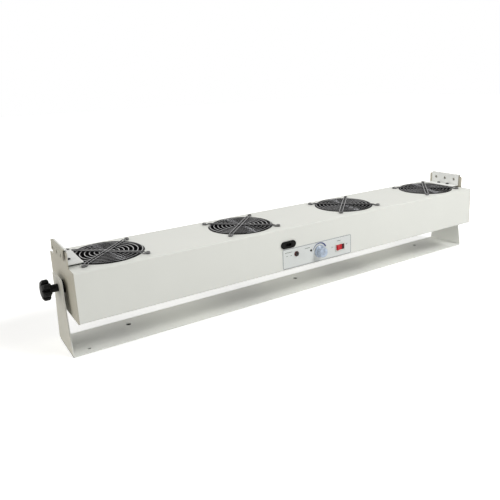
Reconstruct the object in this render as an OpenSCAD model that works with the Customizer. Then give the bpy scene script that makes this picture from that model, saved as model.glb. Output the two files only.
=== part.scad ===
// Ionizing blower: four axial fans in a long sheet-metal housing, hung between the arms of a
// bent-strip cradle and held at any tilt by two clamp knobs. Air enters through the wire guards
// on top, passes the emitter rings and leaves through the guards underneath.
// X runs along the housing, -Y is the control side, Z is up.
// The origin is the middle of the cradle's underside.

/* [Housing] */
// Length of the housing over its end plates
body_l = 940; // [880:5:1000]
// Depth of the housing, front to back
body_d = 150; // [144:1:170]
// Height of the housing
body_h = 84; // [78:1:100]
// Sheet thickness of the housing shell and the outlet panel
sheet_t = 1.2; // [0.8:0.1:2]
// Outside radius of the shell's long bends
bend_r = 2.4; // [2.2:0.1:6]
// Width of the lips that turn in under the shell
lip_w = 14; // [10:0.5:15]
// Sheet thickness of the end plates
end_t = 1.5; // [1:0.1:2.5]

/* [Cradle] */
// Gap between an end plate and the arm beside it
arm_gap = 7; // [5:0.5:12]
// Depth of the cradle's base
base_d = 90; // [80:1:120]
// Thickness of the cradle strip
cradle_t = 2; // [1.5:0.1:3]
// Inside radius of the two bends
cradle_bend_r = 2; // [1:0.5:6]
// Width of an arm beside the pivot
arm_w = 62; // [50:1:80]
// Height of the arms
arm_h = 128; // [124:1:150]
// Corner radius at the top of an arm
arm_corner_r = 8; // [4:1:20]
// Height of the tilt axis above the cradle's underside
pivot_h = 108; // [104:1:116]
// Radius of the fixing holes along the back of the base
fix_hole_r = 4.75; // [2:0.25:6]
// Spacing of the fixing holes
fix_pitch = 375; // [300:5:400]
// Offset of the fixing-hole row from the middle
fix_shift = 11; // [-20:1:20]
// Distance of the fixing-hole row behind the middle
fix_y = 20; // [5:1:30]
// Radius of the earthing hole beside the left arm
earth_hole_r = 3; // [1.5:0.25:4]

/* [Fans] */
// Distance from the middle of an outer fan to the housing's end
fan_edge = 76.25; // [76:0.25:90]
// Side of the square fan frame
fan_size = 119; // [117:0.5:120]
// Depth of the fan frame
fan_depth = 38; // [34:1:42]
// Spacing of a fan's fixing screws
fan_screw = 105; // [104:0.5:106]
// Radius of the duct inside the fan frame
duct_r = 58.2; // [56:0.1:58.4]
// Radius of the inlet openings in the top sheet
inlet_r = 63; // [60:0.1:64]
// Radius of the outlet openings in the panel underneath
opening_r = 59.5; // [58:0.1:60]
// Radius of the rotor hub
hub_r = 24; // [21:0.5:28]
// Gap between a blade tip and the duct
tip_gap = 1; // [0.6:0.1:2]
// Number of blades on a rotor
blade_n = 7; // [5:1:9]
// Blade thickness
blade_t = 1.8; // [1.2:0.1:2.5]
// Blade pitch angle in degrees
blade_pitch = 27; // [20:1:32]
// Camber radius of the blades
camber_r = 60; // [40:1:90]
// Radius of the fan shaft
shaft_r = 1.5; // [1:0.1:2.5]

/* [Guards] */
// Number of rings in a finger guard
ring_n = 7; // [5:1:9]
// Radius of the outermost ring
ring_out_r = 59.5; // [56:0.5:60]
// Radius of the innermost ring
ring_in_r = 12.7; // [9:0.1:16]
// Wire diameter of the guards
wire_d = 1.7; // [1.4:0.1:2]
// Distance between the two wires of a guard strut
strut_gap = 6.4; // [5.6:0.1:8]
// Height by which the struts step up to pass over the rings
strut_rise = 2; // [1.8:0.1:2.4]

/* [Hangers] */
// Width of a hanger bracket
hanger_w = 80; // [72:1:90]
// Height of a hanger above the housing
hanger_h = 30; // [26:1:36]
// Length of the hanger's foot
foot_l = 24; // [20:1:26]
// Sheet thickness of a hanger
hanger_t = 1.5; // [1:0.1:2]
// Gap under the foot, which clears the finger guard
foot_lift = 3.6; // [3:0.1:6]
// Radius of the three hanging holes
hang_hole_r = 3.25; // [1.5:0.25:3.5]
// Spacing of the hanging holes
hang_pitch = 27; // [15:0.5:30]
// Height of the hanging holes above the housing
hang_z = 18; // [17:0.5:20]

/* [Clamp knobs] */
// Radius of the knob over its lobes
knob_r = 17.5; // [14:0.5:20]
// Number of lobes
knob_lobes = 7; // [5:1:9]
// Thickness of the lobed head
head_l = 16; // [12:1:22]
// Radius of the neck
neck_r = 6.5; // [5.5:0.25:8]
// Length of the neck
neck_l = 10.5; // [8:0.5:18]
// Radius of the clamp stud
stud_r = 4; // [3:0.25:5]

/* [Controls] */
// Width of the label plate
label_w = 172; // [160:1:180]
// Height of the label plate
label_h = 40.5; // [36:0.5:41]
// Diameter of the dial knob
dial_d = 25; // [20:0.5:28]
// Height of the dial knob
dial_h = 14; // [12:0.5:18]
// Width of the rocker switch's frame
switch_w = 25; // [22:0.5:28]
// Height of the rocker switch's frame
switch_h = 15.5; // [14:0.5:19]
// Tilt of the rocker to either side in degrees
rocker_tilt = 8; // [5:0.5:10]
// Radius of the lamp's bezel
lamp_r = 5.2; // [4:0.1:6]
// Width of the remote socket
remote_w = 34; // [30:1:40]
// Height of the remote socket
remote_h = 14; // [12:0.5:16]

/* [Fits] */
// Gap between flat faces that move past each other
face_gap = 0.2; // [0.1:0.05:0.3]
// Radial running clearance of shafts
run_gap = 0.05; // [0.02:0.01:0.09]
// Radial clearance of a screw in its hole
hole_gap = 0.25; // [0.15:0.05:0.4]
// Clearance round a part that sits in a cut-out
cut_gap = 0.3; // [0.2:0.05:0.5]

/* [Hidden] */
$fn = 64;

eps = 0.01;
top_z = pivot_h + body_h / 2;
low_z = pivot_h - body_h / 2;
wall_y = body_d / 2 - sheet_t;
panel_top = low_z + 2 * sheet_t;
shell_l = body_l - 2 * end_t;
inner_d = body_d - 2 * sheet_t;

// A fan hangs from the top sheet; its own levels count down from its top face
fan_top = top_z - sheet_t;
flange_t = 4.5;
fan_hole_r = 2.15;
hub_drop = 6.5;
hub_h = 24;
hub_wall = 2;
motor_base_t = 3.5;
bearing_r = 4;
stator_r = 17;
blade_zone = 22;
ear_r = strut_gap / 2;

screw_r = fan_hole_r - hole_gap;
screw_head_r = 3.9;
screw_head_h = 2.4;

cradle_l = body_l + 2 * (arm_gap + cradle_t);
knob_face = cradle_l / 2 + face_gap;
nut_t = 7;
nut_r = 10;

// The controls stand at these distances from the middle and from the housing's bottom edge
dial_x = 3;
dial_up = 23;
lamp_x = -53.5;
lamp_up = 29.5;
trim_x = -17.5;
trim_up = 28.5;
switch_x = 56;
switch_up = 21.5;
remote_x = -72;
remote_up = 51.5;
label_up = 2.5;
row_z = low_z + dial_up;
lamp_z = low_z + lamp_up;
trim_z = low_z + trim_up;
switch_z = low_z + switch_up;
remote_z = low_z + remote_up;
label_z = low_z + label_up + label_h / 2;
rocker_z = -1.2;
label_t = 0.6;
board_y = -wall_y + 11;
board_t = 1.6;

fan_pitch = (body_l - 2 * fan_edge) / 3;
function fan_x(i) = (i - 2.5) * fan_pitch;
side_signs = [-1, 1];
corners = [for (sx = side_signs, sy = side_signs) [sx, sy]];

// Flat rounded rectangle
module pad(w, h, r) {
    square([w - 2 * r, h], center = true);
    square([w, h - 2 * r], center = true);
    for (c = corners) translate([c[0] * (w / 2 - r), c[1] * (h / 2 - r)]) circle(r);
}

// Slot outline with round ends
module pill(w, h) {
    square([w - h, h], center = true);
    for (s = side_signs) translate([s * (w - h) / 2, 0]) circle(h / 2);
}

// Bent strip seen end on: one flat per pair of points, round at every bend
module strip(points, t) {
    for (i = [0 : len(points) - 2]) {
        a = points[i];
        b = points[i + 1];
        d = b - a;
        translate((a + b) / 2) rotate(atan2(d[1], d[0])) square([norm(d), t], center = true);
        if (i > 0) translate(a) circle(d = t, $fn = 24);
    }
}

// Profile in Y and Z, drawn out along X
module along_x(l) rotate([90, 0, 90]) linear_extrude(height = l, center = true) children();

// Profile in X and Z, drawn out along Y
module along_y(l) rotate([90, 0, 0]) linear_extrude(height = l, center = true) children();

// Local Z points out of the front face
module on_front(x, z) translate([x, -body_d / 2, z]) rotate([90, 0, 0]) children();

// Local Z points out of the back face
module on_back(x, z) translate([x, body_d / 2, z]) rotate([90, 0, 180]) children();

// Local Z points out of one end, from the end plate's outer face
module on_end(s) translate([s * body_l / 2, 0, pivot_h]) rotate([0, s * 90, 0]) children();

module at_fan_corners(i) {
    for (c = corners)
        translate([fan_x(i) + c[0] * fan_screw / 2, c[1] * fan_screw / 2, 0]) children();
}

foot_z = top_z + foot_lift;
foot_screw_x = body_l / 2 - 10;
foot_screw_y = 13;
foot_screw_r = 1.9;

module at_foot_screws() {
    for (c = corners) translate([c[0] * foot_screw_x, c[1] * foot_screw_y, 0]) children();
}

// The end flange stops short of the outer emitter ring
ring_rim = 3;
ring_fit = 0.5;
ring_r = opening_r + ring_fit;
end_flange_w = fan_edge - end_t - ring_r - ring_rim - cut_gap;

panel_screw_r = 1.6;
panel_screw_l = 5;
panel_screw_y = body_d / 2 - lip_w / 2;

module at_panel_screws() {
    for (i = [1 : 4], c = corners)
        translate([fan_x(i) + c[0] * fan_pitch / 4, c[1] * panel_screw_y, 0]) children();
    for (s = side_signs, t = side_signs)
        translate([s * (body_l / 2 - end_t - end_flange_w / 2), t * body_d / 4, 0]) children();
}

// ---- cradle ----

// Side view of an arm and the base's edge, with the pivot hole
module cradle_outline() {
    difference() {
        union() {
            translate([0, cradle_t]) square([base_d, 2 * cradle_t], center = true);
            polygon([[-base_d / 2, 2 * cradle_t], [base_d / 2, 2 * cradle_t],
                [arm_w / 2, pivot_h - arm_corner_r], [-arm_w / 2, pivot_h - arm_corner_r]]);
            translate([0, pivot_h - arm_corner_r]) square([arm_w, 2 * eps], center = true);
            intersection() {
                translate([0, arm_h - arm_w / 2]) pad(arm_w, arm_w, arm_corner_r);
                translate([-arm_w / 2, pivot_h - arm_corner_r]) square([arm_w, arm_w]);
            }
        }
        translate([0, pivot_h]) circle(stud_r + hole_gap);
    }
}

// Front view of the bent strip, open at the top
module cradle_bends() {
    out_r = cradle_t + cradle_bend_r;
    h = 2 * arm_h;
    translate([0, h / 2]) difference() {
        pad(cradle_l, h, out_r);
        pad(cradle_l - 2 * cradle_t, h - 2 * cradle_t, cradle_bend_r);
    }
}

module cradle() {
    color("gainsboro") difference() {
        intersection() {
            along_y(base_d) cradle_bends();
            along_x(cradle_l) cradle_outline();
        }
        for (k = [-1 : 1])
            translate([fix_shift + k * fix_pitch, fix_y, -1]) cylinder(r = fix_hole_r, h = 9);
        translate([30 - cradle_l / 2, -31, -1]) cylinder(r = earth_hole_r, h = 9);
    }
}

// ---- housing ----

module fan_openings(z, h, r) {
    for (i = [1 : 4]) {
        translate([fan_x(i), 0, z]) cylinder(r = r, h = h, $fn = 96);
        at_fan_corners(i) translate([0, 0, z]) cylinder(r = screw_r + hole_gap, h = h);
    }
}

module shell_profile() {
    difference() {
        pad(body_d, body_h, bend_r);
        pad(inner_d, body_h - 2 * sheet_t, bend_r - sheet_t);
        translate([0, -body_h / 2]) square([body_d - 2 * lip_w, 4 * sheet_t], center = true);
    }
}

module front_cuts() {
    on_front(dial_x, row_z) translate([0, 0, -5]) cylinder(r = 3.8, h = 10);
    on_front(trim_x, trim_z) translate([0, 0, -5]) cylinder(r = 2.6, h = 10);
    on_front(lamp_x, lamp_z) translate([0, 0, -5]) cylinder(r = 4.2, h = 10);
    on_front(switch_x, switch_z) cube([switch_w - 2 + cut_gap, switch_h - 2 + cut_gap, 10], center = true);
}

module housing_shell() {
    color("gainsboro") difference() {
        translate([0, 0, pivot_h]) along_x(shell_l) shell_profile();
        fan_openings(fan_top - 1, sheet_t + 2, inlet_r);
        at_foot_screws() translate([0, 0, fan_top - 1]) cylinder(r = foot_screw_r + hole_gap, h = 4);
        at_panel_screws() translate([0, 0, low_z - 1]) cylinder(r = panel_screw_r + hole_gap, h = 4);
        front_cuts();
        on_front(remote_x, remote_z) translate([0, 0, -5]) linear_extrude(height = 10)
            pill(remote_w - 6 + cut_gap, remote_h - 4 + cut_gap);
        on_back(-fan_pitch, pivot_h) cube([inlet_w + cut_gap, inlet_h + cut_gap, 10], center = true);
    }
}

module outlet_panel() {
    color("gainsboro") difference() {
        translate([0, 0, low_z + 1.5 * sheet_t])
            cube([shell_l - 0.4, inner_d - 2 * (bend_r - sheet_t) - 0.4, sheet_t], center = true);
        fan_openings(low_z, 3 * sheet_t, opening_r);
        at_panel_screws() translate([0, 0, low_z - 1]) cylinder(r = panel_screw_r + hole_gap, h = 6);
    }
}

tongue_w = 96;
tongue_h = hanger_h - 4;

// End plate with a tongue above the housing and a flange turned in over the outlet panel
module end_plate(s) {
    flange_x = s * (body_l / 2 - end_t - end_flange_w / 2);
    color("tan") difference() {
        union() {
            translate([s * (body_l - end_t) / 2, 0, pivot_h]) along_x(end_t) {
                pad(body_d, body_h, 1.5);
                translate([0, body_h / 2 + tongue_h / 2 - 3]) pad(tongue_w, tongue_h + 6, 3);
            }
            translate([flange_x, 0, panel_top + end_t / 2])
                cube([end_flange_w + 2 * eps, body_d - 40, end_t], center = true);
        }
        on_end(s) cylinder(r = stud_r + hole_gap, h = 8, center = true);
        hanging_holes(s);
        for (t = side_signs) translate([flange_x, t * body_d / 4, panel_top - 1])
            cylinder(r = panel_screw_r + hole_gap, h = 4);
    }
}

module hanging_holes(s) {
    for (k = [-1 : 1]) translate([s * body_l / 2, k * hang_pitch, top_z + hang_z])
        rotate([0, 90, 0]) cylinder(r = hang_hole_r, h = 30, center = true);
}

// Hanger: foot over the top sheet, web inside the tongue, hem folded over the tongue
module hanger(s) {
    half = hanger_t / 2;
    web_x = body_l / 2 - end_t - 0.7 - half;
    hem_x = body_l / 2 + 1.7 + half;
    crest = top_z + hanger_h - half;
    color("gainsboro") difference() {
        mirror([s < 0 ? 1 : 0, 0, 0]) along_y(hanger_w) strip([
            [web_x - foot_l, foot_z + half], [web_x, foot_z + half], [web_x, crest],
            [hem_x, crest], [hem_x + 0.4, top_z + 13]], hanger_t);
        hanging_holes(s);
        at_foot_screws() translate([0, 0, foot_z - 1]) cylinder(r = foot_screw_r + hole_gap, h = 4);
    }
}

// Pan-head screws of the hanger feet, each with the spacer it clamps
module hanger_screws() {
    color("dimgray") at_foot_screws() {
        translate([0, 0, foot_z + hanger_t]) cylinder(r = 3.6, h = screw_head_h);
        translate([0, 0, fan_top - 4]) cylinder(r = foot_screw_r, h = foot_z + hanger_t - fan_top + 4 + eps);
        translate([0, 0, fan_top - 3.2]) cylinder(r = 3.6, h = 3.2 - eps, $fn = 6);
        translate([0, 0, top_z]) difference() {
            cylinder(r = 4, h = foot_lift);
            translate([0, 0, -1]) cylinder(r = foot_screw_r + hole_gap, h = foot_lift + 2);
        }
    }
}

module panel_screws() {
    color("dimgray") at_panel_screws() {
        translate([0, 0, low_z - 1.6]) cylinder(r = 2.9, h = 1.6);
        translate([0, 0, low_z - eps]) cylinder(r = panel_screw_r, h = panel_screw_l);
    }
}

// ---- tilt pivots ----

module pivot_spacer(s) {
    color("dimgray") on_end(s) difference() {
        cylinder(r = 11, h = arm_gap - face_gap);
        translate([0, 0, -1]) cylinder(r = stud_r + hole_gap, h = arm_gap + 2);
    }
}

module pivot_nut(s) {
    color("silver") on_end(s) translate([0, 0, -end_t - nut_t]) difference() {
        cylinder(r = nut_r, h = nut_t, $fn = 6);
        translate([0, 0, -1]) cylinder(r = stud_r, h = nut_t + 2);
    }
}

// Lobed knob: stud, neck, stepped shoulder and domed head
module clamp_knob(s) {
    lobe_r = knob_r * 0.27;
    start = knob_face - body_l / 2;
    color("black") on_end(s) {
        translate([0, 0, -end_t - nut_t]) cylinder(r = stud_r - run_gap, h = start + end_t + nut_t + 1);
        translate([0, 0, start]) cylinder(r = neck_r, h = neck_l + eps);
        translate([0, 0, start + neck_l]) intersection() {
            linear_extrude(height = head_l) {
                circle(knob_r - 1.4 * lobe_r);
                for (k = [0 : knob_lobes - 1]) rotate(k * 360 / knob_lobes)
                    translate([knob_r - lobe_r, 0]) circle(lobe_r, $fn = 32);
            }
            rotate_extrude() polygon([[0, 0], [neck_r + 3, 0], [neck_r + 3, 3], [knob_r - 2, 3],
                [knob_r, 5], [knob_r, head_l - 4], [knob_r - 3, head_l - 1.2],
                [knob_r - 8, head_l], [0, head_l]]);
        }
    }
}

// ---- fans ----

module fan_frame(i) {
    strut_h = 4;
    color("black") translate([fan_x(i), 0, fan_top]) mirror([0, 0, 1]) {
        difference() {
            union() {
                for (z = [0, fan_depth - flange_t]) translate([0, 0, z])
                    linear_extrude(height = flange_t) pad(fan_size, fan_size, 4);
                intersection() {
                    cylinder(r = duct_r + 2.8, h = fan_depth, $fn = 96);
                    translate([0, 0, fan_depth / 2]) cube([fan_size, fan_size, fan_depth], center = true);
                }
            }
            translate([0, 0, -1]) cylinder(r = duct_r, h = fan_depth + 2, $fn = 96);
            for (c = corners) translate([c[0] * fan_screw / 2, c[1] * fan_screw / 2, -1])
                cylinder(r = fan_hole_r, h = fan_depth + 2);
        }
        for (k = [0 : 3]) rotate(45 + 90 * k) translate([hub_r - 1, -2.5, fan_depth - strut_h])
            cube([duct_r - hub_r + 2, 5, strut_h]);
        difference() {
            union() {
                translate([0, 0, fan_depth - motor_base_t]) cylinder(r = hub_r, h = motor_base_t);
                translate([0, 0, hub_drop + 5.5]) cylinder(r = bearing_r, h = fan_depth - hub_drop - 6);
            }
            translate([0, 0, hub_drop]) cylinder(r = shaft_r + run_gap, h = fan_depth - hub_drop - 1.5);
        }
    }
}

module fan_stator(i) {
    coil_h = fan_depth - motor_base_t - hub_drop - 7.5;
    color("peru") translate([fan_x(i), 0, fan_top - fan_depth + motor_base_t]) difference() {
        cylinder(r = stator_r, h = coil_h);
        translate([0, 0, -1]) cylinder(r = bearing_r + run_gap, h = coil_h + 2);
    }
}

// Cambered blade: part of a tube whose axis is radial, pitched and cut to a sector
module blade() {
    half_angle = 180 / blade_n - 2.5;
    reach = duct_r + 5;
    intersection() {
        rotate([blade_pitch, 0, 0]) translate([0, 0, -camber_r]) rotate([0, 90, 0]) difference() {
            cylinder(r = camber_r + blade_t / 2, h = reach, $fn = 128);
            translate([0, 0, -1]) cylinder(r = camber_r - blade_t / 2, h = reach + 2, $fn = 128);
        }
        translate([0, 0, -blade_zone / 2]) linear_extrude(height = blade_zone)
            polygon([[0, 0], reach * [cos(half_angle), -sin(half_angle)],
                [reach * 1.2, 0], reach * [cos(half_angle), sin(half_angle)]]);
        difference() {
            cylinder(r = duct_r - tip_gap, h = blade_zone, center = true, $fn = 96);
            cylinder(r = hub_r - 1, h = blade_zone + 2, center = true);
        }
    }
}

module fan_rotor(i) {
    color("black") translate([fan_x(i), 0, fan_top - hub_drop]) {
        difference() {
            union() {
                translate([0, 0, -hub_h]) cylinder(r = hub_r, h = hub_h - 1.5);
                translate([0, 0, -1.5 - eps]) cylinder(r1 = hub_r, r2 = hub_r - 1.5, h = 1.5);
            }
            translate([0, 0, -hub_h - 1]) cylinder(r = hub_r - hub_wall, h = hub_h - 2);
        }
        translate([0, 0, -fan_depth + hub_drop + 2]) cylinder(r = shaft_r, h = fan_depth - hub_drop - 4);
        for (k = [0 : blade_n - 1]) rotate(k * 360 / blade_n)
            translate([0, 0, -1.2 - blade_zone / 2]) blade();
    }
}

// ---- finger guards ----

// Straight wire between two points in X and Z
module wire(a, b) {
    d = b - a;
    translate([a[0], 0, a[1]]) rotate([0, 90 - atan2(d[1], d[0]), 0])
        cylinder(r = wire_d / 2, h = norm(d), $fn = 24);
}

// Long wire loop from corner to corner: flat round the screws, stepped up over the rings
module guard_strut(rise) {
    ear_x = fan_screw / sqrt(2);
    joint_r = wire_d / 2 + 0.02;
    path = [[-ear_x - 0.05, 0], [-inlet_r - 7, 0], [-inlet_r - 1.5, rise],
        [inlet_r + 1.5, rise], [inlet_r + 7, 0], [ear_x + 0.05, 0]];
    for (s = side_signs) translate([0, s * ear_r, 0]) {
        for (k = [0 : 4]) wire(path[k], path[k + 1]);
        for (k = [1 : 4]) translate([path[k][0], 0, path[k][1]]) sphere(joint_r, $fn = 24);
    }
    for (s = side_signs) translate([s * ear_x, 0, 0]) rotate(s * 90 - 180) rotate_extrude(angle = 180)
        translate([ear_r, 0]) circle(joint_r, $fn = 24);
}

module finger_guard() {
    lift = wire_d / 2 + 0.1;
    step = (ring_out_r - ring_in_r) / (ring_n - 1);
    for (k = [0, 1]) translate([0, 0, lift]) rotate(45 + 90 * k) guard_strut(strut_rise - 0.2 * k);
    for (k = [0 : ring_n - 1]) translate([0, 0, lift + strut_rise - 0.9 * wire_d])
        rotate_extrude($fn = 96) translate([ring_in_r + k * step, 0]) circle(wire_d / 2, $fn = 24);
}

module inlet_guard(i) color("silver") translate([fan_x(i), 0, top_z]) finger_guard();

module outlet_guard(i) {
    color("silver") translate([fan_x(i), 0, low_z + sheet_t]) mirror([0, 0, 1]) finger_guard();
}

module inlet_screws() {
    color("dimgray") for (i = [1 : 4]) at_fan_corners(i) {
        translate([0, 0, top_z + wire_d + 0.15]) cylinder(r = screw_head_r, h = screw_head_h);
        translate([0, 0, fan_top - 9]) cylinder(r = screw_r, h = 9 + sheet_t + wire_d + 0.15 + eps);
        translate([0, 0, fan_top - flange_t - 3.2]) cylinder(r = 3.8, h = 3.2, $fn = 6);
    }
}

ring_h = 8;

module outlet_screws() {
    head_z = low_z + sheet_t - wire_d - 0.15;
    color("dimgray") for (i = [1 : 4]) at_fan_corners(i) {
        translate([0, 0, head_z - screw_head_h]) cylinder(r = screw_head_r, h = screw_head_h);
        translate([0, 0, head_z - eps]) cylinder(r = screw_r, h = panel_top + ring_h - head_z);
    }
}

// Insulating ring with eight needles that point at the middle of the air stream
module emitter_ring(i) {
    needle_n = 8;
    color("whitesmoke") translate([fan_x(i), 0, panel_top]) {
        difference() {
            union() {
                cylinder(r = ring_r + ring_rim, h = ring_h, $fn = 96);
                for (a = [45 : 90 : 315]) rotate(a) translate([ring_r, 0, 0]) {
                    translate([0, -5, 0]) cube([fan_screw / sqrt(2) - ring_r, 10, ring_h]);
                    translate([fan_screw / sqrt(2) - ring_r, 0, 0]) cylinder(r = 5, h = ring_h);
                }
            }
            translate([0, 0, -1]) cylinder(r = ring_r, h = ring_h + 2, $fn = 96);
            for (c = corners) translate([c[0] * fan_screw / 2, c[1] * fan_screw / 2, -1])
                cylinder(r = screw_r + 0.02, h = ring_h + 2);
        }
        for (k = [0 : needle_n - 1]) rotate((k + 0.5) * 360 / needle_n)
            translate([ring_r + 1, 0, ring_h / 2]) rotate([0, -90, 0]) {
                cylinder(r = 2.2, h = 7, $fn = 32);
                translate([0, 0, 7 - eps]) cylinder(r1 = 0.75, r2 = 0.1, h = 6, $fn = 24);
            }
    }
}

// ---- controls ----

module label_plate() {
    color("silver") difference() {
        on_front(0, label_z) linear_extrude(height = label_t)
            pad(label_w, label_h, 3);
        front_cuts();
    }
}

module remote_socket() {
    color("black") on_front(remote_x, remote_z) {
        difference() {
            union() {
                linear_extrude(height = 2) pill(remote_w, remote_h);
                translate([0, 0, -10]) linear_extrude(height = 10 + eps) pill(remote_w - 6, remote_h - 4);
            }
            translate([0, 0, -4]) linear_extrude(height = 8) pad(12, 5.6, 1);
        }
        for (k = [-1 : 1]) translate([k * 3.2, 0, -5]) cylinder(r = 0.6, h = 5.5, $fn = 24);
    }
}

module ion_lamp() {
    depth = board_y + wall_y + sheet_t;
    color("darkred") on_front(lamp_x, lamp_z) {
        translate([0, 0, label_t]) cylinder(r = lamp_r, h = 1.2);
        translate([0, 0, -depth]) cylinder(r = 3.9, h = depth + label_t + eps);
        translate([0, 0, label_t + 1.2 - eps]) cylinder(r = 3.2, h = 1);
        translate([0, 0, label_t + 2.2 - 2 * eps]) intersection() {
            sphere(3.2);
            translate([0, 0, 5]) cube(10, center = true);
        }
    }
}

module dial_pot() {
    depth = board_y + wall_y + sheet_t;
    color("dimgray") on_front(dial_x, row_z) difference() {
        union() {
            translate([0, 0, -depth]) cylinder(r = 8, h = depth - sheet_t);
            translate([0, 0, -sheet_t - eps]) cylinder(r = 3.5, h = sheet_t + label_t + 3.2);
            translate([0, 0, label_t]) cylinder(r = 5.5, h = 2, $fn = 6);
        }
        translate([0, 0, -depth + 3]) cylinder(r = 1.5 + run_gap, h = depth + 8);
    }
}

// Skirted knob with grip flutes, on the potentiometer's shaft
module dial_knob() {
    flute_n = 18;
    base = label_t + 0.5;
    grip_r = dial_d / 2 - 2.5;
    color("lightgray") on_front(dial_x, row_z) {
        difference() {
            union() {
                rotate_extrude() polygon([[0, base], [dial_d / 2, base], [dial_d / 2, base + 1.6],
                    [grip_r, base + 4], [0, base + 4]]);
                translate([0, 0, base + 3]) cylinder(r = grip_r, h = dial_h - 4.2);
                translate([0, 0, base + dial_h - 1.2 - eps])
                    cylinder(r1 = grip_r, r2 = grip_r - 1.2, h = 1.2);
            }
            translate([0, 0, base - 1]) cylinder(r = 6.8, h = 5);
            for (k = [0 : flute_n - 1]) rotate(k * 360 / flute_n)
                translate([grip_r + 0.7, 0, base + 4]) cylinder(r = 1.2, h = dial_h, $fn = 24);
            translate([0, grip_r / 2 + 1, base + dial_h]) cube([1.2, grip_r, 0.8], center = true);
        }
        translate([0, 0, -8]) cylinder(r = 1.5, h = base + 13);
    }
}

module switch_frame() {
    color("gainsboro") on_front(switch_x, switch_z) {
        difference() {
            union() {
                translate([0, 0, label_t]) linear_extrude(height = 1.6) pad(switch_w, switch_h, 1);
                translate([0, 0, -15]) linear_extrude(height = 15 + label_t + eps)
                    square([switch_w - 2, switch_h - 2], center = true);
            }
            translate([0, 0, -6.5]) linear_extrude(height = 20)
                square([switch_w - 3.4, switch_h - 4], center = true);
            translate([0, 0, rocker_z]) rotate([90, 0, 0])
                cylinder(r = 1 + run_gap, h = switch_h, center = true);
        }
        for (k = [-1 : 1]) translate([5 * k, 0, -19]) cube([0.8, 4.8, 9], center = true);
    }
}

// Rocker: two faces that meet at a shallow angle, a round belly and two pivot pins
module rocker() {
    cap_w = switch_w - 4.6;
    cap_h = switch_h - 4.6;
    color("firebrick") on_front(switch_x, switch_z) translate([0, 0, rocker_z])
        rotate([90, rocker_tilt, 0]) {
            linear_extrude(height = cap_h, center = true) intersection() {
                polygon([[-cap_w / 2, 4.6], [0, 2.7], [cap_w / 2, 4.6], [cap_w / 2, -1],
                    [0, -3.6], [-cap_w / 2, -1]]);
                circle(cap_w / 2 + 0.3);
            }
            cylinder(r = 1, h = switch_h - 2.4, center = true);
        }
}

module trimmer_body() {
    color("royalblue") on_front(trim_x, trim_z) translate([0, 0, -board_y - wall_y - sheet_t])
        difference() {
            translate([0, 0, 2.7]) cube([9.5, 9.5, 5.4], center = true);
            translate([0, 0, 3]) cylinder(r = 1.6 + run_gap, h = 5);
        }
}

module trimmer_screw() {
    reach = board_y + wall_y + sheet_t - 3.2;
    color("dimgray") on_front(trim_x, trim_z) difference() {
        translate([0, 0, -reach]) cylinder(r = 1.6, h = reach + label_t - 0.2, $fn = 32);
        translate([0, 0, label_t]) cube([4, 0.6, 2], center = true);
    }
}

// ---- inside ----

board_w = 112;
board_h = 34;
board_x = -14;
board_up = 1.5;
pillar_r = 3;
capacitor_r = 6;
capacitor_h = 14;
relay_w = 20;
relay_h = 18;
heat_sink_w = 28;
heat_sink_h = 9;
choke_r = 4;
choke_h = 11;

// Circuit board on four pillars behind the front wall
module control_board() {
    board_z = panel_top + board_up + board_h / 2;
    inset = pillar_r + 2;
    color("darkgreen") {
        translate([board_x, board_y + board_t / 2, board_z])
            cube([board_w, board_t, board_h], center = true);
        for (c = corners) translate([board_x + c[0] * (board_w / 2 - inset), board_y + eps,
            board_z + c[1] * (board_h / 2 - inset)]) rotate([90, 0, 0])
            cylinder(r = pillar_r, h = board_y + wall_y, $fn = 6);
        translate([board_x, board_y + board_t, board_z]) {
            translate([-board_w * 0.27, -eps, 0]) rotate([-90, 0, 0])
                cylinder(r = capacitor_r, h = capacitor_h);
            translate([-board_w * 0.09, capacitor_h / 2 - eps, 0])
                cube([relay_w, capacitor_h, relay_h], center = true);
            translate([board_w * 0.2, choke_h / 2 - eps, -board_h / 8])
                cube([heat_sink_w, choke_h, heat_sink_h], center = true);
            translate([board_w * 0.41, -eps, board_h / 8]) rotate([-90, 0, 0])
                cylinder(r = choke_r, h = choke_h);
        }
    }
}

module hv_supply() {
    hv_w = 96;
    hv_d = 50;
    hv_h = 36;
    hv_y = wall_y - hv_d / 2 - 12;
    color("darkslategray") translate([0, hv_y, panel_top]) {
        translate([0, 0, hv_h / 2]) cube([hv_w, hv_d, hv_h], center = true);
        for (s = side_signs) translate([s * (hv_w / 2 + 5 - eps), 0, 1])
            cube([10, hv_d - 12, 2], center = true);
        for (k = [-1.5 : 1.5]) translate([k * 18, -hv_d / 2 + eps, hv_h - 9]) rotate([90, 0, 0])
            cylinder(r = 4, h = 7, $fn = 32);
    }
}

inlet_w = 27;
inlet_h = 19.5;
inlet_depth = 22;

// Appliance inlet with three contact blades
module power_inlet() {
    color("black") on_back(-fan_pitch, pivot_h) {
        difference() {
            union() {
                linear_extrude(height = 2.5) pad(inlet_w + 4, inlet_h + 4, 2);
                translate([0, 0, -inlet_depth]) linear_extrude(height = inlet_depth + eps)
                    pad(inlet_w, inlet_h, 2);
            }
            translate([0, 0, -inlet_depth + 5]) linear_extrude(height = inlet_depth)
                pad(inlet_w - 2.6, inlet_h - 2.6, 2);
        }
        for (k = [-1 : 1]) translate([k * 7, k == 0 ? -3.4 : 0.6, -inlet_depth + 11])
            cube([2, 4, 13], center = true);
    }
}

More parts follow.
